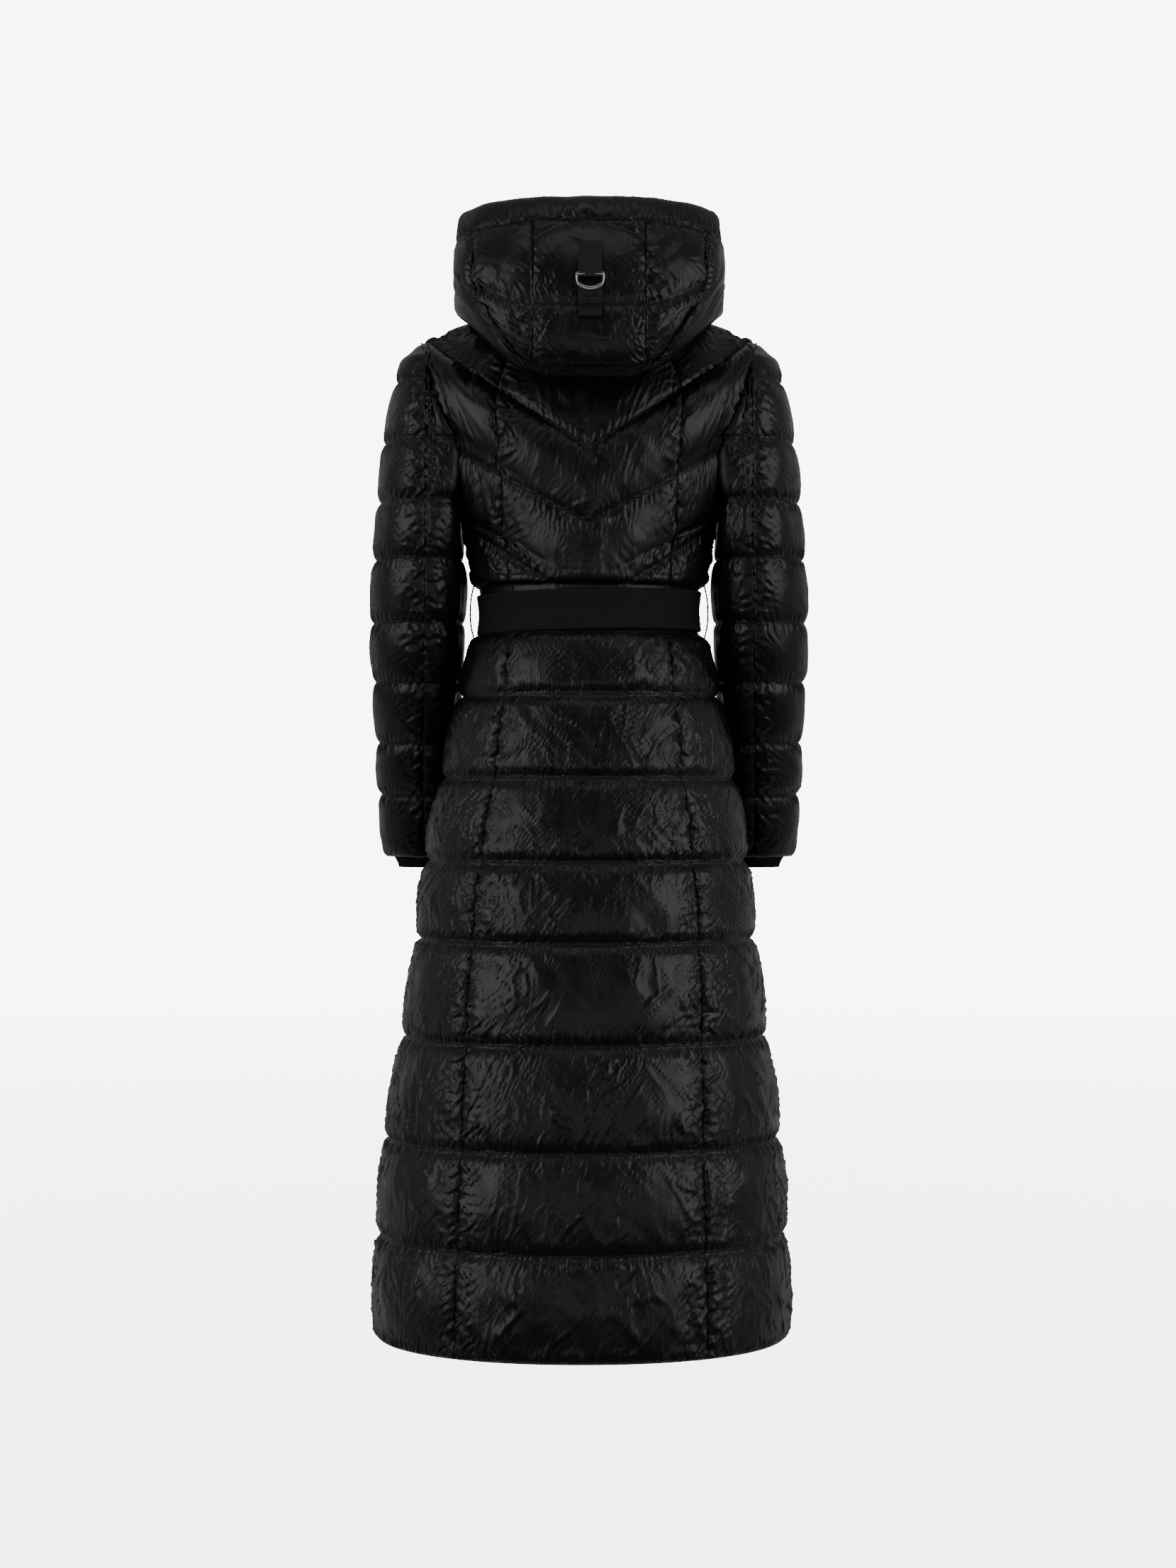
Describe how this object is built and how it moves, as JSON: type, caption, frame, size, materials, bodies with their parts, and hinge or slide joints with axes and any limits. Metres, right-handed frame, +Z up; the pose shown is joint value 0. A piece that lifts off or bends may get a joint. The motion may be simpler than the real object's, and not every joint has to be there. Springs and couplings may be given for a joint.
{
  "type": "long puffer coat",
  "caption": "Long hooded down coat in glossy nylon with level skirt channels, chevron bodice quilting, narrow belt, hood lying back and knit inner cuffs, filled out as worn.",
  "frame": {"origin": "centre of the neck opening, level with the neck points of the shoulders, where the coat is held", "axes": "+Z up along the coat, front of the coat towards -Y, wearer's left towards +X"},
  "size_m": [0.5328, 0.41, 1.3444],
  "materials": {
    "shell": "glossy woven nylon over down",
    "webbing": "matte woven band",
    "knit": "matte rib knit",
    "ring": "polished steel wire"
  },
  "bodies": {
    "root": {"skirt_back_centre": "shell", "skirt_back_side_L": "shell", "skirt_back_side_R": "shell", "skirt_front_L": "shell", "skirt_front_R": "shell", "bodice_back_centre": "shell", "bodice_back_side_L": "shell", "bodice_back_side_R": "shell", "bodice_front_L": "shell", "bodice_front_R": "shell", "sleeve_outer_L": "shell", "sleeve_outer_R": "shell", "sleeve_under_L": "shell", "sleeve_under_R": "shell", "cuff_knit_L": "knit", "cuff_knit_R": "knit", "hood_crown_centre": "shell", "hood_crown_side_L": "shell", "hood_crown_side_R": "shell", "hood_side_L": "shell", "hood_side_R": "shell", "hood_rim": "shell", "front_fly": "shell", "belt": "webbing", "belt_end": "webbing", "belt_loop_L": "webbing", "belt_loop_R": "webbing", "hood_strap": "shell", "hood_strap_base": "shell", "hood_strap_tail": "shell", "hood_ring_1": "ring", "hood_ring_2": "ring"}
  },
  "joints": []
}
